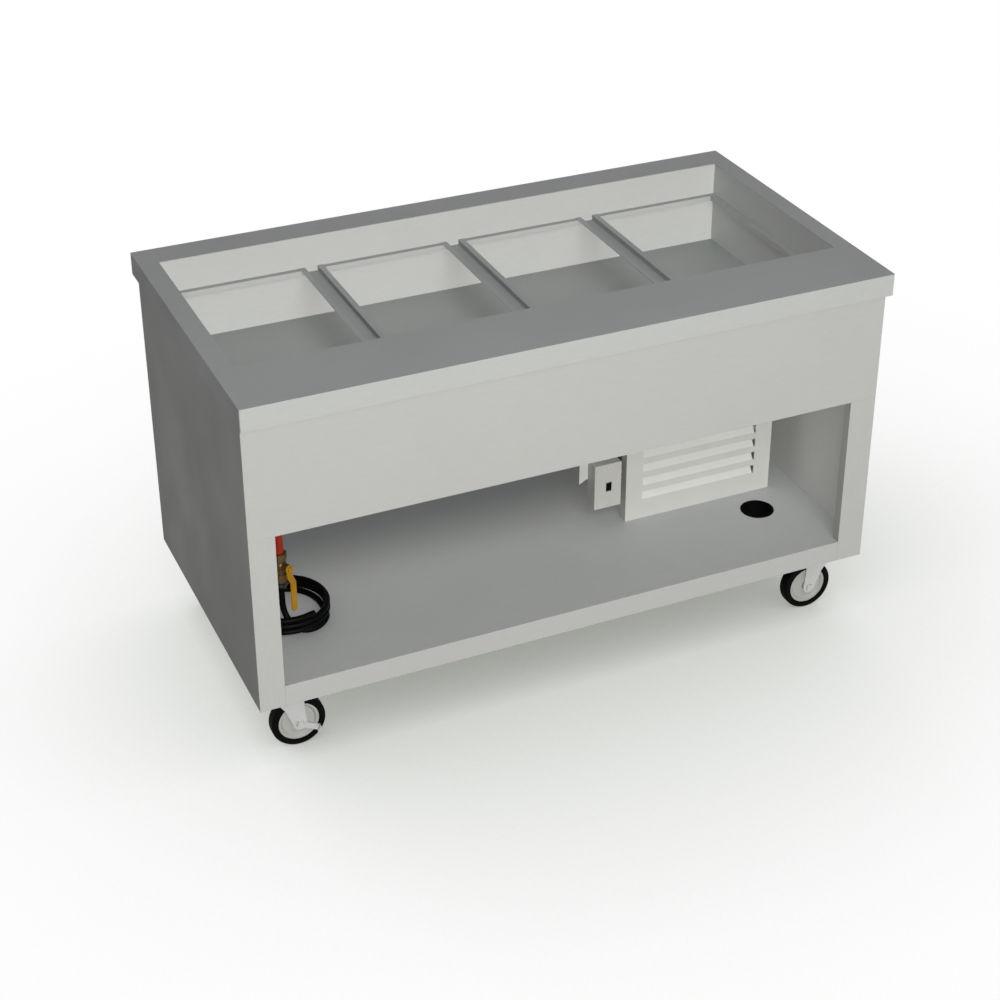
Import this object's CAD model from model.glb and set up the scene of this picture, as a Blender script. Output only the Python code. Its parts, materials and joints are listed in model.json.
import json
import math

import bpy
from bpy.props import FloatProperty, FloatVectorProperty
from mathutils import Matrix, Vector

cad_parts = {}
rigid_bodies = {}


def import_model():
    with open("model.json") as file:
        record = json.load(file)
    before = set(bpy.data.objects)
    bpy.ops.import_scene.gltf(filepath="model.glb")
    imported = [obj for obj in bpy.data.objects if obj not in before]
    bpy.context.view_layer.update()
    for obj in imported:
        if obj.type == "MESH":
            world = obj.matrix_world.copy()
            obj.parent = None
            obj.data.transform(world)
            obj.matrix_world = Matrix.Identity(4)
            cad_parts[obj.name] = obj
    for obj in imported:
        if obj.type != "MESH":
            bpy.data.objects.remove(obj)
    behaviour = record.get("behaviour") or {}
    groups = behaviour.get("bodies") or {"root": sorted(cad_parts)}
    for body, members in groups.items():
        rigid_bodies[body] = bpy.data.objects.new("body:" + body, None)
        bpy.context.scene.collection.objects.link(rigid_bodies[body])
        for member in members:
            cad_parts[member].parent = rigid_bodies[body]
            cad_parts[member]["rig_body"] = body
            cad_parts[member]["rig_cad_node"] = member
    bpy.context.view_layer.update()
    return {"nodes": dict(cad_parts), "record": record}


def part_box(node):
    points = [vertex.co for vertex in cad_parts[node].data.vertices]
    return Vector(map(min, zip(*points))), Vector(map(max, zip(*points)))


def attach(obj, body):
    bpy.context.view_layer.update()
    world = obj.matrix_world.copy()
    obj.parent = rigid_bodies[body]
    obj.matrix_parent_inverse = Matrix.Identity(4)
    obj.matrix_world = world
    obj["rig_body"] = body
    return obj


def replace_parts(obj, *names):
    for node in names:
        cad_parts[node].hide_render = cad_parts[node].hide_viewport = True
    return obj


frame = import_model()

bl_info = {
    "name": "Mobile salad bar",
    "version": (1, 0, 0),
    "blender": (4, 5, 0),
    "location": "3D View > Sidebar > Salad bar",
    "description": "Finishes and details of a caster-mounted salad bar counter",
    "category": "Add Mesh",
}

BODY_OF = {node: made["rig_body"] for node, made in frame["nodes"].items()}
SLOT_OF = {part["node"]: part["material_slot"] for part in frame["record"]["subparts"]}

# Shares of a steel's red, green and blue that are left in a crease, and far back under the well
CREASE_SHARES = (0.21, 0.26, 0.26)
DEPTH_SHARES = (0.10, 0.145, 0.15)
# The shelf's steel dulls from the first Y to the second, by the third at most
SHELF_DEPTH = (-0.10, 0.16, 0.58)
# What shows where a coat is worn off its edges, and the dust that settles on it
BARE_STEEL = (0.45, 0.45, 0.44)
SCUFF = (0.02, 0.02, 0.02)
PRIMER = (0.12, 0.12, 0.12)
PIPE_IRON = (0.16, 0.04, 0.02)
LEVER_METAL = (0.20, 0.12, 0.03)
DUST = (0.35, 0.34, 0.32)


def colour(name, about, default):
    looks = {"subtype": "COLOR", "size": 3, "min": 0, "max": 1}
    return FloatVectorProperty(name=name, description=about, default=default, **looks)


def length(name, about, default):
    looks = {"subtype": "DISTANCE", "unit": "LENGTH", "min": 0}
    return FloatProperty(name=name, description=about, default=default, **looks)


def share(name, about, default):
    return FloatProperty(name=name, description=about, default=default, min=0, max=1, subtype="FACTOR")


class SaladBarColours(bpy.types.PropertyGroup):
    """Colours of the finishes, as linear values"""

    top: colour("Counter top", "Steel of the top, the pan ledge and the adapter bars", (0.53, 0.54, 0.535))
    body: colour("Cabinet", "Steel of the cabinet's panels and shelf", (0.52, 0.52, 0.512))
    shelf: colour("Bottom shelf", "Steel of the bottom shelf", (0.625, 0.635, 0.635))
    inner: colour("Inner skin", "Steel inside the storage bay", (0.72, 0.72, 0.71))
    well: colour("Well", "Steel of the well", (0.60, 0.605, 0.595))
    panel: colour("Louvre panel", "Finish of the louvre panel", (0.545, 0.545, 0.53))
    slat: colour("Louvre blade", "Finish of the louvre blades, which few hands touch", (0.66, 0.665, 0.65))
    switch: colour("Switch box", "Finish of the switch box's cover", (0.48, 0.48, 0.465))
    zinc: colour("Zinc plate", "Plating of the casters' forks, plates and bolts", (0.56, 0.56, 0.565))
    foam: colour("Insulation", "Foam round the well", (0.72, 0.62, 0.36))
    rubber: colour("Sleeve rubber", "Rubber of the shelf's sleeve", (0.001, 0.001, 0.001))
    bezel: colour("Switch frame", "Frame of the rocker switch", (0.50, 0.50, 0.49))
    plastic: colour("Black plastic", "Rocker and cord gland", (0.001, 0.001, 0.001))
    paint: colour("Black paint", "Compressor, shroud and motor", (0.020, 0.020, 0.021))
    aluminium: colour("Aluminium", "Condenser fins and fan blades", (0.60, 0.61, 0.62))
    copper: colour("Copper", "Refrigerant lines and filter drier", (0.24, 0.11, 0.06))
    pipe: colour("Red pipe", "Painted drain pipe", (0.30, 0.022, 0.008))
    brass: colour("Brass", "Valve body and hose barb", (0.09, 0.048, 0.010))
    grip: colour("Lever", "Lacquered valve lever", (0.35, 0.18, 0.008))
    hose: colour("Hose", "Rubber of the drain hose", (0.0015, 0.0015, 0.0015))
    hub: colour("Wheel hub", "Grey plastic of the wheels", (0.39, 0.395, 0.38))
    tyre: colour("Tyre", "Rubber of the tyres", (0.0015, 0.0015, 0.0015))
    floor: colour("Floor", "Studio floor", (0.20, 0.20, 0.195))


class SaladBarSizes(bpy.types.PropertyGroup):
    """Sizes of the rounded edges, the hose and the small fasteners"""

    sheet_edge: length("Sheet edge", "Rounding of the sheet metal's edges", 0.0005)
    top_edge: length("Top edge", "Rounding of the counter top's outer edges", 0.0016)
    small_edge: length("Small edge", "Rounding of the small pieces' edges", 0.0006)
    hose_radius: length("Hose radius", "Half of the drain hose's outside diameter", 0.007)
    hose_bore: length("Hose bore", "Radius of the hose's bore", 0.0046)
    screw_radius: length("Screw head", "Radius of the switch cover's screw heads", 0.0025)
    guard_wire: length("Guard wire", "Radius of the fan guard's wires", 0.0008)
    thin_edge: length("Thin edge", "Rounding of the thinnest pieces' edges", 0.0003)
    fine_edge: length("Fine edge", "Rounding of the sleeve's, the stem's and plastic pieces' edges", 0.0004)
    grain: share("Brushed grain", "Strength of the brushed lines on the steel", 0.10)
    wear: share("Edge wear", "Strength of the wear on painted edges", 0.35)


# Materials


def fed(tree, node, inputs):
    """Links a node's inputs to the sockets given for them and sets the others to the values given."""
    for name, value in inputs.items():
        if isinstance(value, bpy.types.NodeSocket):
            tree.links.new(value, node.inputs[name])
        else:
            node.inputs[name].default_value = value


def shader(tree, kind, x, y, settings=None, inputs=None):
    """A shader node at a place in its tree, with settings by name and inputs by name or number."""
    made = tree.nodes.new("ShaderNode" + kind)
    made.location = (x, y)
    for name, value in (settings or {}).items():
        setattr(made, name, value)
    fed(tree, made, inputs or {})
    return made


def ramp(tree, x, y, fac, stops):
    """The colour that a ramp gives for a grey, from its places and tints."""
    made = shader(tree, "ValToRGB", x, y, inputs={"Fac": fac})
    points = made.color_ramp.elements
    points[0].position, points[0].color = stops[0][0], (*stops[0][1], 1)
    points[1].position, points[1].color = stops[-1][0], (*stops[-1][1], 1)
    for place, tint in stops[1:-1]:
        points.new(place).color = (*tint, 1)
    return made.outputs["Color"]


def noise(tree, x, y, place, scale, detail, roughness=0.5):
    """The grey of a noise texture."""
    inputs = {"Vector": place, "Scale": scale, "Detail": detail, "Roughness": roughness}
    return shader(tree, "TexNoise", x, y, inputs=inputs).outputs["Fac"]


def spread(tree, x, y, value, low, high, to_low=0.0, to_high=1.0, kind="LINEAR"):
    """A value that runs from low to high, made to run from to_low to to_high."""
    inputs = {"Value": value, "From Min": low, "From Max": high, "To Min": to_low, "To Max": to_high}
    return shader(tree, "MapRange", x, y, {"interpolation_type": kind}, inputs).outputs["Result"]


def combined(tree, x, y, operation, a, b):
    """What a Math node makes of two values."""
    return shader(tree, "Math", x, y, {"operation": operation}, {0: a, 1: b}).outputs[0]


def mixed(tree, x, y, factor, a, b):
    """A mix of two colours; all three may be sockets or values."""
    a, b = (c if isinstance(c, bpy.types.NodeSocket) else (*c, 1) for c in (a, b))
    return shader(tree, "Mix", x, y, {"data_type": "RGBA"}, {0: factor, 6: a, 7: b}).outputs[2]


def upwards(tree, x, y):
    """1 on a face that looks up, 0 on an upright one."""
    face = shader(tree, "NewGeometry", x, y)
    return shader(tree, "SeparateXYZ", x + 200, y, inputs={0: face.outputs["Normal"]}).outputs["Z"]


def group_tree(name, inputs, outputs):
    """A node group with its inputs' defaults, where None or three numbers make a vector, and its outputs."""
    tree = bpy.data.node_groups.new(name, "ShaderNodeTree")
    for socket, default in inputs.items():
        kind = "NodeSocketFloat" if isinstance(default, float) else "NodeSocketVector"
        made = tree.interface.new_socket(name=socket, in_out="INPUT", socket_type=kind)
        if default is not None:
            made.default_value = default
    for socket in outputs:
        tree.interface.new_socket(name=socket, in_out="OUTPUT", socket_type="NodeSocketFloat")
    into = tree.nodes.new("NodeGroupInput")
    into.location = (-900, 0)
    out = tree.nodes.new("NodeGroupOutput")
    out.location = (700, 0)
    return tree, into.outputs, out.inputs


def brushed_grain():
    """Fine lines that run along one direction, and soft patches where hands and cloths have been."""
    inputs = {"Vector": None, "Lines": (40, 1600, 1600), "Patches": 5.0}
    tree, into, out = group_tree("Brushed grain", inputs, ["Line", "Patch"])
    inputs = {0: into["Vector"], 1: into["Lines"]}
    fine = shader(tree, "VectorMath", -650, 150, {"operation": "MULTIPLY"}, inputs)
    lines = noise(tree, -420, 150, fine.outputs[0], 1.0, 3.0, 0.6)
    patch = noise(tree, -420, -150, into["Vector"], into["Patches"], 4.0, 0.55)
    tree.links.new(spread(tree, -180, 150, lines, 0.3, 0.7), out["Line"])
    tree.links.new(spread(tree, -180, -150, patch, 0.32, 0.68), out["Patch"])
    return tree


def edge_wear():
    """A mask that is 1 on a worn convex or concave edge."""
    tree, into, out = group_tree("Edge wear", {"Vector": None, "Radius": 0.002, "Strength": 0.5}, ["Mask"])
    turned = shader(tree, "Bevel", -650, 120, {"samples": 4}, {"Radius": into["Radius"]}).outputs["Normal"]
    flat = shader(tree, "NewGeometry", -650, -60).outputs["Normal"]
    same = shader(tree, "VectorMath", -430, 60, {"operation": "DOT_PRODUCT"}, {0: turned, 1: flat})
    edge = spread(tree, -230, 60, same.outputs["Value"], 0.995, 0.8)
    gaps = spread(tree, -230, -200, noise(tree, -430, -200, into["Vector"], 180.0, 3.0), 0.42, 0.62)
    both = combined(tree, 0, 0, "MULTIPLY", edge, gaps)
    tree.links.new(combined(tree, 200, 0, "MULTIPLY", both, into["Strength"]), out["Mask"])
    return tree


def settled_dust():
    """A mask that grows on faces that look up, broken into soft patches."""
    tree, into, out = group_tree("Settled dust", {"Vector": None, "Amount": 0.2}, ["Mask"])
    lies = spread(tree, -250, 100, upwards(tree, -650, 100), 0.2, 1.0)
    soft = spread(tree, -250, -120, noise(tree, -450, -120, into["Vector"], 14.0, 5.0), 0.35, 0.75)
    both = combined(tree, -20, 0, "MULTIPLY", lies, soft)
    tree.links.new(combined(tree, 180, 0, "MULTIPLY", both, into["Amount"]), out["Mask"])
    return tree


def creases():
    """A mask that grows in corners and under overhangs, by a share of its own on upright faces."""
    tree, into, out = group_tree("Creases", {"Distance": 0.1, "Strength": 0.5, "Upright": 1.0}, ["Mask"])
    near = shader(tree, "AmbientOcclusion", -500, 0, {"samples": 6}, {"Distance": into["Distance"]})
    deep = spread(tree, -250, 0, near.outputs["AO"], 0.92, 0.0)
    lies = spread(tree, -250, -250, upwards(tree, -650, -250), 0.0, 1.0, into["Upright"])
    both = combined(tree, 0, -100, "MULTIPLY", deep, lies)
    tree.links.new(combined(tree, 200, 0, "MULTIPLY", both, into["Strength"]), out["Mask"])
    return tree


SHARED = {
    "Brushed grain": brushed_grain,
    "Edge wear": edge_wear,
    "Settled dust": settled_dust,
    "Creases": creases,
}


def shared(tree, name, x, y, inputs):
    """The outputs of one of the node groups above, which is made when it is first asked for."""
    group = bpy.data.node_groups.get(name) or SHARED[name]()
    return shader(tree, "Group", x, y, {"node_tree": group}, inputs).outputs


def blank(name):
    """A new material, its tree, its Principled shader and its Object coordinates."""
    made = bpy.data.materials.new(name)
    made.use_nodes = True
    tree = made.node_tree
    surface = tree.nodes["Principled BSDF"]
    place = shader(tree, "TexCoord", -1300, 0)
    return made, tree, surface, place.outputs["Object"]


def tinted(base, by):
    """A colour made lighter or darker, within what a colour can hold."""
    return tuple(max(0.0, min(1.0, c * by)) for c in base)


def shaded(base, shares):
    """What is left of a colour's red, green and blue."""
    return tuple(c * left for c, left in zip(base, shares))


def bumped(tree, surface, height, distance, strength):
    """Gives a Principled shader fine relief."""
    inputs = {"Height": height, "Distance": distance, "Strength": strength}
    bump = shader(tree, "Bump", -250, -400, inputs=inputs)
    tree.links.new(bump.outputs["Normal"], surface.inputs["Normal"])


def steel(name, base, along, rough=0.46, reach=0.12, shade=0.5, upright=1.0, depth=None):
    """Satin sheet steel, brushed along one axis; depth holds two Y, between which it dulls, and how far."""
    made, tree, surface, place = blank(name)
    half = bpy.context.scene.salad_bar_sizes.grain / 2
    lines = [30.0 if axis == along else 1500.0 for axis in "XYZ"]
    grain = shared(tree, "Brushed grain", -1000, 100, {"Vector": place, "Lines": lines, "Patches": 4.0})
    brushed = mixed(tree, -600, 200, grain["Line"], tinted(base, 1 - half), tinted(base, 1 + half))
    cloud = spread(tree, -800, -50, grain["Patch"], 0, 1, 0, 0.06)
    flat = mixed(tree, -400, 200, cloud, brushed, tinted(base, 0.6))
    deep = shared(tree, "Creases", -600, -250, {"Distance": reach, "Strength": shade, "Upright": upright})
    tone = mixed(tree, -200, 200, deep["Mask"], flat, shaded(base, CREASE_SHARES))
    if depth:
        front, back, most = depth
        parts = shader(tree, "SeparateXYZ", -1000, 450, inputs={0: place})
        far = spread(tree, -700, 450, parts.outputs["Y"], front, back, 0, most, "SMOOTHSTEP")
        tone = mixed(tree, 0, 300, far, tone, shaded(base, DEPTH_SHARES))
    gloss = spread(tree, -400, -50, grain["Patch"], 0, 1, rough - 0.05, rough + 0.07)
    fed(tree, surface, {"Base Color": tone, "Roughness": gloss, "Metallic": 0.04, "Specular IOR Level": 0.06})
    bumped(tree, surface, grain["Line"], 0.00002, 0.35)
    return made


def painted(name, base, rough, under, speckle, scale, bump, metallic=0.0, shine=0.5):
    """A coat of paint or plating with a faint orange peel, worn through along its edges."""
    made, tree, surface, place = blank(name)
    wear = bpy.context.scene.salad_bar_sizes.wear
    peel = noise(tree, -1000, -200, place, scale, 2.0)
    cloud = noise(tree, -1000, 200, place, 22.0, 5.0)
    tone = ramp(tree, -760, 200, cloud, [(0.3, tinted(base, 1 - speckle)), (0.7, tinted(base, 1 + speckle))])
    worn = shared(tree, "Edge wear", -760, -60, {"Vector": place, "Radius": 0.0015, "Strength": wear})
    dust = shared(tree, "Settled dust", -760, -260, {"Vector": place, "Amount": 0.10})
    rubbed = mixed(tree, -480, 200, worn["Mask"], tone, under)
    full = mixed(tree, -300, 200, dust["Mask"], rubbed, DUST)
    gloss = spread(tree, -480, -60, cloud, 0, 1, rough - 0.06, rough + 0.08)
    fed(tree, surface, {"Base Color": full, "Roughness": gloss})
    fed(tree, surface, {"Metallic": metallic, "Specular IOR Level": shine})
    bumped(tree, surface, peel, bump, 0.5)
    return made


def rubbery(name, base, rough, scale, bump):
    """Rubber with a fine matt skin and a little grey bloom."""
    made, tree, surface, place = blank(name)
    skin = noise(tree, -900, -200, place, scale, 4.0)
    bloom = noise(tree, -900, 150, place, 30.0, 5.0)
    tone = ramp(tree, -650, 150, bloom, [(0.35, base), (0.75, tuple(c * 1.5 + 0.001 for c in base))])
    gloss = spread(tree, -650, -50, bloom, 0, 1, rough - 0.08, rough + 0.08)
    fed(tree, surface, {"Base Color": tone, "Roughness": gloss, "Specular IOR Level": 0.04})
    bumped(tree, surface, skin, bump, 0.6)
    return made


def cast_metal(name, base, metallic, rough, dark):
    """Metal that has darkened in its hollows and is rubbed bright along its edges."""
    made, tree, surface, place = blank(name)
    wear = bpy.context.scene.salad_bar_sizes.wear
    skin = noise(tree, -1000, -250, place, 420.0, 4.0)
    stain = noise(tree, -1000, 200, place, 55.0, 6.0, 0.65)
    stops = [(0.3, tinted(base, dark)), (0.55, base), (0.75, tinted(base, 1.25))]
    worn = shared(tree, "Edge wear", -760, -60, {"Vector": place, "Radius": 0.0012, "Strength": wear})
    full = mixed(tree, -480, 200, worn["Mask"], ramp(tree, -760, 200, stain, stops), tinted(base, 1.7))
    gloss = spread(tree, -480, -60, stain, 0, 1, rough + 0.1, rough - 0.1)
    fed(tree, surface, {"Base Color": full, "Roughness": gloss, "Metallic": metallic})
    bumped(tree, surface, skin, 0.00006, 0.6)
    return made


def foamed(name, base):
    """Cut foam: small cells of two shades."""
    made, tree, surface, place = blank(name)
    cells = shader(tree, "TexVoronoi", -900, 0, inputs={"Vector": place, "Scale": 420.0}).outputs["Distance"]
    tone = ramp(tree, -650, 120, cells, [(0.1, tinted(base, 0.8)), (0.6, tinted(base, 1.1))])
    fed(tree, surface, {"Base Color": tone, "Roughness": 0.9})
    bumped(tree, surface, cells, 0.0003, 0.6)
    return made


def finishes():
    """One material for each of the record's material slots, and the same steel brushed along other axes."""
    c = bpy.context.scene.salad_bar_colours
    return {
        "top_steel": steel("Counter top steel", c.top, "X"),
        "cross_steel": steel("Adapter bar steel", c.top, "Y"),
        "well_steel": steel("Well steel", c.well, "X", rough=0.44, reach=0.30, shade=0.75, upright=0.1),
        "body_steel": steel("Cabinet steel", c.body, "X"),
        "side_steel": steel("Cabinet side steel", c.body, "Z"),
        "shelf_steel": steel("Bottom shelf steel", c.shelf, "X", shade=0.4, depth=SHELF_DEPTH),
        "inner_steel": steel("Inner skin steel", c.inner, "Z", reach=0.40, upright=0.4),
        "panel_steel": painted("Panel finish", c.panel, 0.42, BARE_STEEL, 0.02, 700.0, 0.00003),
        "slat_steel": painted("Louvre blade finish", c.slat, 0.42, BARE_STEEL, 0.02, 700.0, 0.00003),
        "switch_steel": painted("Switch box finish", c.switch, 0.42, BARE_STEEL, 0.02, 700.0, 0.00003),
        "zinc_steel": painted("Zinc plate", c.zinc, 0.36, tinted(c.zinc, 0.6), 0.07, 500.0, 0.00003, 0.25),
        "foam": foamed("Insulation foam", c.foam),
        "sleeve_rubber": rubbery("Sleeve rubber", c.rubber, 0.6, 600.0, 0.00005),
        "switch_bezel": painted("Switch frame", c.bezel, 0.4, BARE_STEEL, 0.02, 900.0, 0.00002),
        "black_plastic": painted("Black plastic", c.plastic, 0.35, SCUFF, 0.1, 900.0, 0.00002, shine=0.1),
        "black_paint": painted("Black paint", c.paint, 0.4, PRIMER, 0.12, 500.0, 0.00005),
        "fin_aluminium": cast_metal("Aluminium", c.aluminium, 0.6, 0.4, 0.85),
        "copper": cast_metal("Copper", c.copper, 0.8, 0.35, 0.6),
        "red_paint": painted("Red pipe paint", c.pipe, 0.42, PIPE_IRON, 0.14, 600.0, 0.00005, shine=0.15),
        "valve_brass": cast_metal("Valve brass", c.brass, 0.35, 0.42, 0.5),
        "yellow_grip": painted("Lever lacquer", c.grip, 0.45, LEVER_METAL, 0.12, 700.0, 0.00004, shine=0.15),
        "hose_rubber": rubbery("Hose rubber", c.hose, 0.42, 500.0, 0.00004),
        "hub_plastic": painted("Wheel plastic", c.hub, 0.45, tinted(c.hub, 0.7), 0.03, 900.0, 0.00002),
        "tyre_rubber": rubbery("Tyre rubber", c.tyre, 0.62, 800.0, 0.00006),
    }


# The finishes by name, once main has made them
FINISH = {}


# Modelling

# Edges are sharp from the first angle on, on tubes from the second, and facets within the third are one flat
SHARP_ANGLE, SOFT_ANGLE, FLAT_ANGLE = math.radians(30), math.radians(50), math.radians(0.5)
# Corners nearer than this are one, and a merged piece whose skin grew to this share has a hole filled
MERGE_REACH, FILLED_SHARE = 0.000002, 1.01


def clear_selection():
    """Leaves edit mode and deselects everything."""
    if bpy.context.object and bpy.context.object.mode != "OBJECT":
        bpy.ops.object.mode_set(mode="OBJECT")
    bpy.ops.object.select_all(action="DESELECT")


def take(piece):
    """Selects a piece alone and makes it the active one."""
    clear_selection()
    piece.select_set(True)
    bpy.context.view_layer.objects.active = piece
    return piece


def coat(piece, finish):
    """Gives a piece one finish and no other."""
    piece.data.materials.clear()
    piece.data.materials.append(FINISH[finish])
    return piece


def rounded(piece, width, segments=2):
    """Rounds the sharp edges and smooths what is left by angle."""
    take(piece)
    if width > 0:
        bevel = piece.modifiers.new("Edges", "BEVEL")
        bevel.width = width
        bevel.segments = segments
        bevel.limit_method = "ANGLE"
        bevel.angle_limit = SHARP_ANGLE
        bevel.use_clamp_overlap = True
        bevel.miter_outer = "MITER_ARC"
        bpy.ops.object.modifier_apply(modifier="Edges")
    bpy.ops.object.shade_smooth_by_angle(angle=SHARP_ANGLE)
    even = piece.modifiers.new("Even normals", "WEIGHTED_NORMAL")
    even.keep_sharp = True
    bpy.ops.object.modifier_apply(modifier="Even normals")
    return piece


def at_origin(piece):
    """Moves a piece's place, turn and size into its mesh."""
    take(piece)
    bpy.ops.object.transform_apply(location=True, rotation=True, scale=True)
    return piece


def settle(piece, body, slot, finish=None):
    """Gives a new piece its finish, its material slot and its body."""
    at_origin(piece)
    coat(piece, finish or slot)
    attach(piece, body)
    return piece


def join(pieces, name):
    """Makes several pieces one."""
    clear_selection()
    for piece in pieces:
        piece.select_set(True)
    bpy.context.view_layer.objects.active = pieces[0]
    bpy.ops.object.join()
    made = bpy.context.object
    made.name = made.data.name = name
    return made


def skin_area(piece):
    piece.data.calc_loop_triangles()
    return sum(face.area for face in piece.data.loop_triangles)


def merge_flats(piece, flats):
    """Merges a mesh's doubled corners and, where asked, the facets of each flat."""
    take(piece)
    bpy.ops.object.mode_set(mode="EDIT")
    bpy.ops.mesh.select_all(action="SELECT")
    bpy.ops.mesh.remove_doubles(threshold=MERGE_REACH)
    if flats:
        bpy.ops.mesh.dissolve_limited(angle_limit=FLAT_ANGLE)
    bpy.ops.object.mode_set(mode="OBJECT")
    return piece


def dressed(node, edge, finish=None, segments=2):
    """Puts a CAD node's copy in its place, with its flats made whole and its edges rounded."""
    source = frame["nodes"][node]
    take(source)
    bpy.ops.object.duplicate()
    piece = bpy.context.object
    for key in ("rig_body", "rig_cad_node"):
        if key in piece:
            del piece[key]
    piece.parent = None
    piece.name = piece.data.name = node + "_made"
    spare, area = piece.data.copy(), skin_area(piece)
    rounded(merge_flats(piece, True), edge, segments)
    if skin_area(piece) > area * FILLED_SHARE:
        # a flat with a hole in it was filled: this piece keeps its facets
        piece.data = spare
        rounded(merge_flats(piece, False), edge, segments)
    settle(piece, BODY_OF[node], SLOT_OF[node], finish)
    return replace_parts(piece, node)


def cylinder(radius, depth, place, axis, sides):
    """A cylinder whose base's middle is at place and that runs along axis."""
    clear_selection()
    direction = Vector(axis).normalized()
    turn = direction.to_track_quat("Z", "Y").to_euler()
    middle = Vector(place) + direction * depth / 2
    shape = {"vertices": sides, "radius": radius, "depth": depth}
    bpy.ops.mesh.primitive_cylinder_add(**shape, location=middle, rotation=turn)
    return bpy.context.object


def select_faces(piece, test):
    """Selects the faces whose middle and normal pass the test, in edit mode."""
    bpy.ops.object.mode_set(mode="EDIT")
    bpy.ops.mesh.select_mode(type="FACE")
    bpy.ops.mesh.select_all(action="DESELECT")
    bpy.ops.object.mode_set(mode="OBJECT")
    for face in piece.data.polygons:
        face.select = bool(test(face.center, face.normal))
    bpy.ops.object.mode_set(mode="EDIT")


def screw(place, axis, radius, name, body):
    """A pan-head screw with a round recess, standing on a surface."""
    head = cylinder(radius, SCREW_HEIGHT, place, axis, 20)
    select_faces(head, lambda centre, normal: normal.z > 0.9)
    bpy.ops.mesh.inset(thickness=radius * 0.35, depth=SCREW_HEIGHT * 0.35)
    bpy.ops.mesh.inset(thickness=radius * 0.18, depth=0)
    bpy.ops.mesh.inset(thickness=radius * 0.02, depth=-SCREW_HEIGHT * 0.7)
    bpy.ops.object.mode_set(mode="OBJECT")
    rounded(head, radius * 0.06)
    head.name = name
    return settle(head, body, "zinc_steel")


# The hose's route, in metres: the free stretch from the barb, then the coil
HOSE_ROUTE = [
    (-0.639, -0.205, 0.341), (-0.639, -0.205, 0.327), (-0.639, -0.205, 0.306), (-0.639, -0.205, 0.286),
    (-0.6375, -0.2075, 0.268), (-0.633, -0.214, 0.250), (-0.6255, -0.222, 0.2355), (-0.615, -0.229, 0.2255),
    (-0.601, -0.234, 0.220), (-0.585, -0.2355, 0.2183), (-0.566, -0.2305, 0.2183), (-0.5485, -0.2175, 0.2183),
    (-0.537, -0.201, 0.2183), (-0.5326, -0.184, 0.2183), (-0.532, -0.171, 0.2183), (-0.532, -0.1645, 0.2183),
]
COIL_MIDDLE = (-0.620, -0.1505)
COIL_RADIUS, COIL_LEAD, COIL_TURNS, COIL_LAYER, COIL_LOW = 0.097, 0.009, 2.8, 0.0146, 0.2183
# In degrees: where the lead-in ends, where a layer's climb starts and how long it takes
LEAD_END, CLIMB_START, CLIMB_LENGTH = 90, 110, 140
# The coil's points for each turn, and the curve's points for each of the route's
COIL_STEPS, CURVE_STEPS = 36, 3
# The straight tail after the coil, and how deep the hose is open
HOSE_TAIL, HOSE_BORE_DEPTH = 0.013, 0.018


def eased(t):
    """A smooth step from 0 to 1."""
    t = max(0.0, min(1.0, t))
    return t * t * (3 - 2 * t)


def coil_point(angle):
    """The coil's middle line at an angle from its start, in degrees."""
    radius = COIL_RADIUS - COIL_LEAD * (1 - eased(angle / LEAD_END))
    climb = angle // 360 + eased((angle % 360 - CLIMB_START) / CLIMB_LENGTH)
    turn = math.radians(angle)
    x, y = COIL_MIDDLE[0] + radius * math.cos(turn), COIL_MIDDLE[1] + radius * math.sin(turn)
    return Vector((x, y, COIL_LOW + COIL_LAYER * climb))


def hose_points():
    """The free stretch, the coil and a short straight tail."""
    steps = round(COIL_TURNS * COIL_STEPS)
    coil = [coil_point(360 * COIL_TURNS * k / steps) for k in range(steps + 1)]
    ends = [coil[-1] + (coil[-1] - coil[-2]).normalized() * HOSE_TAIL]
    return [Vector(p) for p in HOSE_ROUTE[:-1]] + coil + ends


def smooth_line(points):
    """Points of a Catmull-Rom curve through the given ones."""
    line = []
    for i in range(len(points) - 1):
        a, b = points[max(0, i - 1)], points[i]
        c, d = points[i + 1], points[min(len(points) - 1, i + 2)]
        for k in range(CURVE_STEPS):
            t = k / CURVE_STEPS
            bow, twist = 2 * a - 5 * b + 4 * c - d, 3 * b - a - 3 * c + d
            line.append(0.5 * ((2 * b) + (c - a) * t + bow * t * t + twist * t * t * t))
    return line + [points[-1]]


def tube_curve(name, line, radius, resolution):
    """A round tube along a line, turned into a mesh."""
    data = bpy.data.curves.new(name, "CURVE")
    data.dimensions = "3D"
    data.bevel_depth = radius
    data.bevel_resolution = resolution
    data.use_fill_caps = True
    spline = data.splines.new("POLY")
    spline.points.add(len(line) - 1)
    for point, place in zip(spline.points, line):
        point.co = (*place, 1)
    made = bpy.data.objects.new(name, data)
    bpy.context.scene.collection.objects.link(made)
    take(made)
    bpy.ops.object.convert(target="MESH")
    return bpy.context.object


def ring(middle, radius, wire):
    """A ring of round wire round a middle, square to the Y axis."""
    clear_selection()
    turn = Vector((0, 1, 0)).to_track_quat("Z", "Y").to_euler()
    shape = {"major_radius": radius, "minor_radius": wire, "major_segments": 48, "minor_segments": 8}
    bpy.ops.mesh.primitive_torus_add(**shape, location=middle, rotation=turn)
    return bpy.context.object


def block(size, edge):
    """A small block round the origin, with rounded edges."""
    clear_selection()
    bpy.ops.mesh.primitive_cube_add(size=1, scale=size)
    return rounded(at_origin(bpy.context.object), edge)


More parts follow.
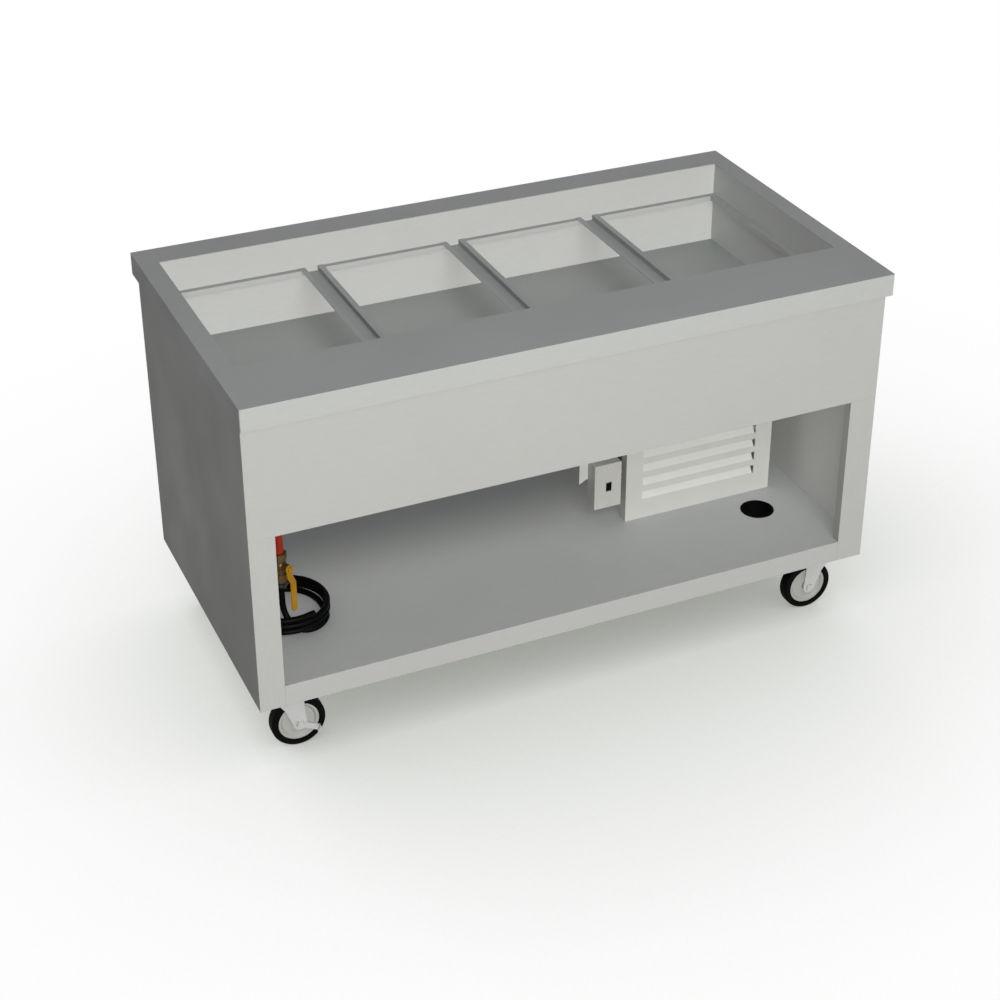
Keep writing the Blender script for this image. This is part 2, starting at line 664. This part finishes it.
def band(middle, radius, height, thick):
    """A thin upright band round a middle."""
    clear_selection()
    shape = {"vertices": 40, "radius": radius, "depth": height, "end_fill_type": "NOTHING"}
    bpy.ops.mesh.primitive_cylinder_add(**shape, location=middle)
    made = bpy.context.object
    wall = made.modifiers.new("Wall", "SOLIDIFY")
    wall.thickness = thick
    wall.offset = 1
    bpy.ops.object.modifier_apply(modifier="Wall")
    return rounded(made, thick * 0.3)


# Fitted to the photograph's straight edges
CAMERA_PLACE, CAMERA_TARGET = Vector((-1.6972, -3.7668, 2.8096)), Vector((0, 0, 0.519))
CAMERA_LENS, CAMERA_SENSOR = 72.57, 36
CAMERA_SHIFT_X, CAMERA_SHIFT_Y = -0.0084, -0.0891


class SALADBAR_OT_camera(bpy.types.Operator):
    """Place the camera at the photograph's viewing angle"""

    bl_idname = "salad_bar.camera"
    bl_label = "Camera"

    def execute(self, context):
        clear_selection()
        bpy.ops.object.camera_add(location=CAMERA_PLACE)
        made = bpy.context.object
        made.rotation_euler = (CAMERA_TARGET - CAMERA_PLACE).to_track_quat("-Z", "Y").to_euler()
        made.data.lens = CAMERA_LENS
        made.data.sensor_width = CAMERA_SENSOR
        made.data.shift_x = CAMERA_SHIFT_X
        made.data.shift_y = CAMERA_SHIFT_Y
        made.data.clip_end = 100
        context.scene.camera = made
        return {"FINISHED"}


class SALADBAR_OT_drain_hose(bpy.types.Operator):
    """Make the drain hose, which drops from the barb, lies down and ends in a coil"""

    bl_idname = "salad_bar.drain_hose"
    bl_label = "Drain hose"

    def execute(self, context):
        sizes = context.scene.salad_bar_sizes
        line = smooth_line(hose_points())
        made = tube_curve("drain_hose_made", line, sizes.hose_radius, 7)
        end, back = line[-1], (line[-2] - line[-1]).normalized()
        wall = sizes.hose_radius - sizes.hose_bore

        def at_end(centre, normal):
            return (centre - end).length < wall / 2 and normal.dot(back) < -0.9

        select_faces(made, at_end)
        bpy.ops.mesh.inset(thickness=wall, depth=0)
        bpy.ops.mesh.extrude_region_move(TRANSFORM_OT_translate={"value": back * HOSE_BORE_DEPTH})
        bpy.ops.object.mode_set(mode="OBJECT")
        bpy.ops.object.shade_smooth_by_angle(angle=SOFT_ANGLE)
        settle(made, "cabinet", "hose_rubber")
        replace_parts(made, "drain_hose", "drain_hose_coil")
        return {"FINISHED"}


# Each lamp's name, place, size, power in watts, tint, and whether it throws shadows
LAMPS = (
    ("front_lamp", (-0.6, -6.9, 2.15), (3.0, 2.4), 345, (1.0, 0.98, 0.94), False),
    ("high_lamp", (-0.8, -5.4, 4.7), (3.0, 3.0), 118, (0.94, 1.0, 1.0), True),
    ("top_lamp", (-1.0, 1.6, 5.0), (3.0, 3.0), 14, (0.92, 0.98, 1.0), True),
    ("back_lamp", (3.4, 6.0, 0.6), (3.0, 1.0), 190, (1.0, 0.99, 0.97), True),
)
LAMP_TARGET = Vector((0, 0, 0.5))
WORLD_LEVEL = 0.04
FLOOR_SIZE, FLOOR_DROP = 60, 0.0004
# The even sky that shades the seen floor: the way it leans, how far it reaches and the tint of full shade
SKY_LEAN, SKY_REACH, SHADE_TINT = (-0.15, 0.03, 0.988), 1.6, (0.93, 1.0, 0.87)


class SALADBAR_OT_stage(bpy.types.Operator):
    """Make the pale floor, the soft lamps and the world"""

    bl_idname = "salad_bar.stage"
    bl_label = "Studio"

    def execute(self, context):
        clear_selection()
        bpy.ops.mesh.primitive_plane_add(size=FLOOR_SIZE, location=(0, 0, -FLOOR_DROP))
        floor = bpy.context.object
        floor.name = "floor"
        floor.data.materials.append(floor_material())
        for row in LAMPS:
            lamp(*row)
        world_light(WORLD_LEVEL)
        context.scene.view_settings.view_transform = "Standard"
        return {"FINISHED"}


def lamp(name, place, size, power, tint, shadow):
    """A soft lamp that looks at the object's middle."""
    data = bpy.data.lights.new(name, "AREA")
    data.shape = "RECTANGLE"
    data.size, data.size_y = size
    data.energy = power
    data.color = tint
    data.use_shadow = shadow
    made = bpy.data.objects.new(name, data)
    made.location = place
    made.rotation_euler = (LAMP_TARGET - Vector(place)).to_track_quat("-Z", "Y").to_euler()
    bpy.context.scene.collection.objects.link(made)


def seen_rays(tree, x, y):
    """1 for camera, glossy and transmission rays, which see the backdrop itself."""
    rays = shader(tree, "LightPath", x, y).outputs
    some = combined(tree, x + 200, y, "MAXIMUM", rays["Is Camera Ray"], rays["Is Glossy Ray"])
    return combined(tree, x + 400, y, "MAXIMUM", some, rays["Is Transmission Ray"])


def floor_material():
    """Pale floor, near white where it is seen, with the soft shade of an even sky round the object."""
    made = bpy.data.materials.new("Studio floor")
    made.use_nodes = True
    tree = made.node_tree
    tree.nodes.clear()
    out = shader(tree, "OutputMaterial", 900, 0)
    c = bpy.context.scene.salad_bar_colours
    place = shader(tree, "TexCoord", -1100, 0).outputs["Object"]
    grain = noise(tree, -900, 200, place, 160.0, 4.0)
    tone = ramp(tree, -650, 200, grain, [(0.3, tinted(c.floor, 0.97)), (0.7, tinted(c.floor, 1.03))])
    surface = shader(tree, "BsdfDiffuse", 300, 200, inputs={"Color": tone})
    lean = shader(tree, "CombineXYZ", -900, -200, inputs=dict(enumerate(SKY_LEAN)))
    inputs = {"Distance": SKY_REACH, "Normal": lean.outputs[0]}
    sky = shader(tree, "AmbientOcclusion", -650, -100, {"samples": 16}, inputs)
    speck = spread(tree, -650, -350, grain, 0, 1, 0.975, 1.025)
    light = spread(tree, -400, -100, sky.outputs["AO"], 0.1, 0.965, 0.33, 1.0)
    level = combined(tree, -150, -100, "MULTIPLY", light, speck)
    tint = mixed(tree, 0, -250, light, SHADE_TINT, (1, 1, 1))
    glow = shader(tree, "Emission", 300, -100, inputs={"Color": tint, "Strength": level})
    inputs = {0: seen_rays(tree, -300, -500), 1: surface.outputs[0], 2: glow.outputs[0]}
    both = shader(tree, "MixShader", 600, 0, inputs=inputs)
    tree.links.new(both.outputs[0], out.inputs["Surface"])
    return made


def world_light(level):
    """A white backdrop that lights the object by level only."""
    world = bpy.data.worlds.new("Studio")
    bpy.context.scene.world = world
    world.use_nodes = True
    tree = world.node_tree
    strength = spread(tree, -250, 0, seen_rays(tree, -900, 0), 0, 1, level, 1.0)
    fed(tree, tree.nodes["Background"], {"Color": (1, 1, 1, 1), "Strength": strength})


class SALADBAR_OT_counter_top(bpy.types.Operator):
    """Make the counter top, the well, the pan ledge and the adapter bars"""

    bl_idname = "salad_bar.counter_top"
    bl_label = "Counter top"

    def execute(self, context):
        sizes = context.scene.salad_bar_sizes
        dressed("counter_top", sizes.top_edge, segments=3)
        dressed("well_liner", sizes.sheet_edge)
        dressed("pan_ledge", sizes.sheet_edge)
        for i in (1, 2, 3):
            dressed(f"adapter_bar_{i}", sizes.sheet_edge, "cross_steel")
        dressed("drain_strainer", sizes.thin_edge)
        dressed("foam_insulation", 0)
        dressed("insulation_jacket", sizes.thin_edge)
        return {"FINISHED"}


class SALADBAR_OT_cabinet(bpy.types.Operator):
    """Make the cabinet's panels, skins, stiles and apron"""

    bl_idname = "salad_bar.cabinet"
    bl_label = "Cabinet"

    def execute(self, context):
        edge = context.scene.salad_bar_sizes.sheet_edge
        for node in ("side_panel_left", "side_panel_right"):
            dressed(node, edge, "side_steel")
        for node in ("side_skin_left", "side_skin_right"):
            dressed(node, edge, "inner_steel")
        for node in ("back_panel", "back_skin", "front_apron"):
            dressed(node, edge)
        for node in ("stile_left", "stile_right"):
            dressed(node, edge, "side_steel")
        return {"FINISHED"}


class SALADBAR_OT_bottom_shelf(bpy.types.Operator):
    """Make the bottom shelf with its channels and the rubber sleeve"""

    bl_idname = "salad_bar.bottom_shelf"
    bl_label = "Bottom shelf"

    def execute(self, context):
        sizes = context.scene.salad_bar_sizes
        dressed("bottom_shelf", sizes.sheet_edge, "shelf_steel")
        shelf = bpy.data.objects["bottom_shelf_made"]
        shelf.data.materials.append(FINISH["body_steel"])
        for face in shelf.data.polygons:
            face.material_index = 0 if face.normal.z > 0.7 else 1
        dressed("shelf_channels", sizes.sheet_edge)
        dressed("shelf_grommet", sizes.fine_edge)
        return {"FINISHED"}


# The louvres as in the panel's solid: the slots, the blades, and the gap between a blade's end and its slot's
SLOT_LENGTH, SLOT_HEIGHT, SLOT_PITCH, SLOT_MARGIN = 0.309, 0.022, 0.038, 0.052
BLADE_LEAN, BLADE_RISE, BLADE_FOOT, BLADE_GAP = 0.013, 0.0195, 0.00075, 0.004
# Where the panel's front has blades: this far in from its sides and between these depths
BLADES_INSET, BLADES_FRONT, BLADES_BACK = 0.04, 0.001, 0.02
# The pressed ends' thickness, and how far they stand behind the blade and inside its gap
END_THICK, END_BEHIND = 0.0008, 0.00005


class SALADBAR_OT_louvre_panel(bpy.types.Operator):
    """Make the louvre panel and the pressed left ends of its blades"""

    bl_idname = "salad_bar.louvre_panel"
    bl_label = "Louvre panel"

    def execute(self, context):
        dressed("louvre_panel", context.scene.salad_bar_sizes.sheet_edge)
        panel = bpy.data.objects["louvre_panel_made"]
        low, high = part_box("louvre_panel")
        panel.data.materials.append(FINISH["slat_steel"])
        for face in panel.data.polygons:
            across = low.x + BLADES_INSET < face.center.x < high.x - BLADES_INSET
            inside = across and low.y + BLADES_FRONT < face.center.y < low.y + BLADES_BACK
            if inside and face.normal.z > 0.2 and face.normal.y < -0.2:
                face.material_index = 1
        self.ends(low, high)
        return {"FINISHED"}

    def ends(self, low, high):
        """The pressed left ends of the blades, which close their slots on that side"""
        slot_x = (low.x + high.x - SLOT_LENGTH) / 2
        tilt = math.atan2(BLADE_LEAN, BLADE_RISE)
        size = (BLADE_GAP - 2 * END_BEHIND, END_THICK, math.hypot(BLADE_LEAN, BLADE_RISE))
        inwards = Vector((0, math.cos(tilt), -math.sin(tilt))) * (END_THICK / 2 + END_BEHIND)
        rows = 1 + int((high.z - low.z - 2 * SLOT_MARGIN - SLOT_HEIGHT) / SLOT_PITCH)
        made = []
        for row in range(rows):
            foot = low.z + SLOT_MARGIN + row * SLOT_PITCH + BLADE_FOOT
            end = block(size, 0)
            middle = Vector((slot_x + BLADE_GAP / 2, low.y + BLADE_LEAN / 2, foot + BLADE_RISE / 2)) + inwards
            end.matrix_world = Matrix.Translation(middle) @ Matrix.Rotation(-tilt, 4, "X")
            made.append(at_origin(end))
        settle(join(made, "louvre_ends"), "cabinet", SLOT_OF["louvre_panel"], "slat_steel")


# The switch cover's screws: how high their heads stand, and how far in from its ends
SCREW_HEIGHT, SCREW_INSET = 0.0016, 0.010


class SALADBAR_OT_switch_box(bpy.types.Operator):
    """Make the switch box with its cover, rocker, gland and bracket"""

    bl_idname = "salad_bar.switch_box"
    bl_label = "Switch box"

    def execute(self, context):
        sizes = context.scene.salad_bar_sizes
        for node in ("switch_box", "switch_cover"):
            dressed(node, sizes.sheet_edge, "switch_steel")
        dressed("switch_bracket", sizes.sheet_edge)
        dressed("rocker_frame", sizes.thin_edge)
        for node in ("rocker_button", "cord_gland"):
            dressed(node, sizes.fine_edge)
        low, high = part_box("switch_cover")
        middle = (low.x + high.x) / 2
        for name, z in (("low", low.z + SCREW_INSET), ("high", high.z - SCREW_INSET)):
            screw((middle, low.y, z), (0, -1, 0), sizes.screw_radius, f"switch_screw_{name}", "cabinet")
        return {"FINISHED"}


# The fan guard's rings, its spokes, the first one's turn in degrees, and how far it stands behind the blades
GUARD_RINGS, GUARD_STAND = (0.022, 0.040, 0.058, 0.0765), 0.0022
GUARD_SPOKES, FIRST_SPOKE = 6, 30
SPOKE_START, SPOKE_RIM, SPOKE_BEND, SPOKE_FOOT = 0.0215, 0.0805, 0.002, 0.008
# The condenser's tubes, how far their return bends stand out, and the degrees from point to point on a bend
TUBE_ROWS, TUBE_RADIUS, TUBE_SHIFT = 8, 0.00475, 0.003
BEND_ROOT, BEND_OUT, BEND_STEP = 0.001, 0.013, 15
# The process tube's place from the middle of the compressor's top, and its lean and rise from there
PROCESS_X, PROCESS_Y, PROCESS_RADIUS = -0.045, 0.030, 0.0032
PROCESS_LINE = ((0, -0.02), (0, 0.016), (-0.004, 0.028), (-0.014, 0.036))
# The terminal clip's height on the shell, its wire, and its line round the cover, in and to one side
CLIP_HEIGHT, CLIP_WIRE = 0.10, 0.0012
CLIP_LINE = ((0.030, 0.0255), (0.004, 0.0255), (-0.0014, 0.022))


class SALADBAR_OT_cooling_unit(bpy.types.Operator):
    """Make the compressor, the condenser and the fan"""

    bl_idname = "salad_bar.cooling_unit"
    bl_label = "Cooling unit"

    def execute(self, context):
        sizes = context.scene.salad_bar_sizes
        dressed("unit_base", sizes.small_edge, "zinc_steel")
        dressed("compressor", sizes.small_edge)
        dressed("fan_shroud", sizes.fine_edge)
        dressed("fan_motor", sizes.small_edge)
        dressed("fan_blades", sizes.thin_edge)
        dressed("filter_drier", sizes.small_edge)
        dressed("refrigerant_lines", 0)
        coat(frame["nodes"]["condenser"], "fin_aluminium")
        self.guard(sizes.guard_wire)
        self.bends()
        self.fittings()
        return {"FINISHED"}

    def guard(self, wire):
        """The wire guard behind the fan"""
        low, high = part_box("fan_blades")
        middle = (low + high) / 2
        y = high.y + GUARD_STAND
        made = [ring((middle.x, y, middle.z), radius, wire) for radius in GUARD_RINGS]
        hub = Vector((middle.x, y + wire, middle.z))
        for k in range(GUARD_SPOKES):
            turn = math.radians(FIRST_SPOKE + 360 / GUARD_SPOKES * k)
            out = Vector((math.cos(turn), 0, math.sin(turn)))
            rim = hub + out * SPOKE_RIM
            line = [hub + out * SPOKE_START, rim - out * SPOKE_BEND]
            line += [rim - Vector((0, drop, 0)) for drop in (SPOKE_BEND, SPOKE_FOOT)]
            made.append(tube_curve("spoke", line, wire, 2))
        guard = join(made, "fan_guard")
        bpy.ops.object.shade_smooth_by_angle(angle=SOFT_ANGLE)
        settle(guard, "cabinet", "zinc_steel")

    def bends(self):
        """The condenser's return bends, one row of tubes after the other"""
        low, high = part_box("condenser")
        step = (high.z - low.z) / TUBE_ROWS
        y = (low.y + TUBE_SHIFT + high.y) / 2
        made = []
        for k in range(TUBE_ROWS - 1):
            side, x = (1, high.x) if k % 2 else (-1, low.x)
            middle = low.z + (k + 1) * step
            arc = []
            for turn in range(0, 181, BEND_STEP):
                out = side * (BEND_ROOT + BEND_OUT * math.sin(math.radians(turn)))
                arc.append(Vector((x + out, y, middle - step / 2 * math.cos(math.radians(turn)))))
            made.append(tube_curve("bend", arc, TUBE_RADIUS, 3))
        bends = join(made, "condenser_bends")
        bpy.ops.object.shade_smooth_by_angle(angle=SOFT_ANGLE)
        settle(bends, "cabinet", "copper")

    def fittings(self):
        """The compressor's process tube and the spring clip over its terminal cover"""
        low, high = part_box("compressor")
        middle = (low + high) / 2
        x, y, z = middle.x + PROCESS_X, middle.y + PROCESS_Y, high.z
        line = [Vector((x + lean, y, z + rise)) for lean, rise in PROCESS_LINE]
        tube = tube_curve("process_tube", line, PROCESS_RADIUS, 4)
        bpy.ops.object.shade_smooth_by_angle(angle=SOFT_ANGLE)
        settle(tube, "cabinet", "copper")
        x, y, z = low.x, middle.y, low.z + CLIP_HEIGHT
        line = [Vector((x + out, y - side, z)) for out, side in CLIP_LINE]
        line += [Vector((x + out, y + side, z)) for out, side in reversed(CLIP_LINE)]
        clip = tube_curve("terminal_clip", line, CLIP_WIRE, 3)
        bpy.ops.object.shade_smooth_by_angle(angle=SOFT_ANGLE)
        settle(clip, "cabinet", "zinc_steel")


# The hose clamp: its height below the barb, its strap, its housing and its worm
CLAMP_DROP, STRAP_HEIGHT, STRAP_THICK = 0.009, 0.009, 0.0007
CLAMP_TURN = math.radians(-40)
HOUSE_SIZE, HOUSE_OUT, HOUSE_EDGE = (0.0052, 0.012, 0.0095), 0.0028, 0.0008
WORM_RADIUS, WORM_LENGTH, WORM_BACK = 0.0026, 0.017, 0.008
WORM_HEAD_RADIUS, WORM_HEAD, WORM_EDGE = 0.0036, 0.004, 0.0004


class SALADBAR_OT_drain_valve(bpy.types.Operator):
    """Make the drain pipe, the ball valve, its lever and the hose barb"""

    bl_idname = "salad_bar.drain_valve"
    bl_label = "Drain valve"

    def execute(self, context):
        sizes = context.scene.salad_bar_sizes
        dressed("drain_pipe", sizes.thin_edge)
        dressed("valve_body", sizes.small_edge)
        dressed("valve_stem", sizes.fine_edge, "yellow_grip")
        dressed("valve_lever", sizes.small_edge)
        dressed("hose_barb", sizes.thin_edge)
        self.clamp(sizes.hose_radius)
        return {"FINISHED"}

    def clamp(self, radius):
        """The worm-drive clamp that holds the hose on its barb"""
        middle = Vector(HOSE_ROUTE[0]) - Vector((0, 0, CLAMP_DROP))
        strap = band(middle, radius, STRAP_HEIGHT, STRAP_THICK)
        out = Vector((math.cos(CLAMP_TURN), math.sin(CLAMP_TURN), 0))
        along = Vector((-out.y, out.x, 0))
        seat = middle + out * (radius + HOUSE_OUT)
        house = block(HOUSE_SIZE, HOUSE_EDGE)
        house.matrix_world = Matrix.Translation(seat) @ Matrix.Rotation(CLAMP_TURN, 4, "Z")
        at_origin(house)
        worm = cylinder(WORM_RADIUS, WORM_LENGTH, seat - along * WORM_BACK, along, 16)
        rounded(worm, WORM_EDGE)
        head = cylinder(WORM_HEAD_RADIUS, WORM_HEAD, seat + along * WORM_BACK, along, 6)
        rounded(head, WORM_EDGE)
        clamp = join([strap, house, worm, head], "hose_clamp")
        settle(clamp, "cabinet", "zinc_steel", "black_paint")


CORNERS = ("front_left", "front_right", "back_left", "back_right")


class SALADBAR_OT_casters(bpy.types.Operator):
    """Make the casters' plates, bolts, forks, wheels and brake pedals"""

    bl_idname = "salad_bar.casters"
    bl_label = "Casters"

    def execute(self, context):
        small = context.scene.salad_bar_sizes.small_edge
        dressed("caster_plates", small)
        dressed("caster_bolts", small)
        for corner in CORNERS:
            dressed(f"fork_{corner}", small)
            dressed(f"wheel_{corner}", small)
            dressed(f"tyre_{corner}", 0)
        for side in ("front", "back"):
            dressed(f"brake_pedal_{side}", small)
        return {"FINISHED"}


class SALADBAR_PT_panel(bpy.types.Panel):
    """Lists the salad bar's sizes, colours and pieces"""

    bl_idname = "SALADBAR_PT_panel"
    bl_label = "Salad bar"
    bl_space_type = "VIEW_3D"
    bl_region_type = "UI"
    bl_category = "Salad bar"

    def draw(self, context):
        column = self.layout.column(align=True)
        for group in (context.scene.salad_bar_sizes, context.scene.salad_bar_colours):
            for name in group.bl_rna.properties.keys():
                if name not in ("rna_type", "name"):
                    column.prop(group, name)
        for step in STEPS:
            column.operator(step.bl_idname)


STEPS = (
    SALADBAR_OT_camera,
    SALADBAR_OT_drain_hose,
    SALADBAR_OT_stage,
    SALADBAR_OT_counter_top,
    SALADBAR_OT_cabinet,
    SALADBAR_OT_bottom_shelf,
    SALADBAR_OT_louvre_panel,
    SALADBAR_OT_switch_box,
    SALADBAR_OT_cooling_unit,
    SALADBAR_OT_drain_valve,
    SALADBAR_OT_casters,
)
CLASSES = (SaladBarColours, SaladBarSizes, *STEPS, SALADBAR_PT_panel)


def register():
    for made in CLASSES:
        bpy.utils.register_class(made)
    bpy.types.Scene.salad_bar_colours = bpy.props.PointerProperty(type=SaladBarColours)
    bpy.types.Scene.salad_bar_sizes = bpy.props.PointerProperty(type=SaladBarSizes)


def unregister():
    del bpy.types.Scene.salad_bar_sizes
    del bpy.types.Scene.salad_bar_colours
    for made in reversed(CLASSES):
        bpy.utils.unregister_class(made)


def main():
    register()
    FINISH.update(finishes())
    bpy.ops.salad_bar.camera()
    bpy.ops.salad_bar.drain_hose()
    bpy.ops.salad_bar.stage()
    bpy.ops.salad_bar.counter_top()
    bpy.ops.salad_bar.cabinet()
    bpy.ops.salad_bar.bottom_shelf()
    bpy.ops.salad_bar.louvre_panel()
    bpy.ops.salad_bar.switch_box()
    bpy.ops.salad_bar.cooling_unit()
    bpy.ops.salad_bar.drain_valve()
    bpy.ops.salad_bar.casters()


if __name__ == "__main__":
    main()
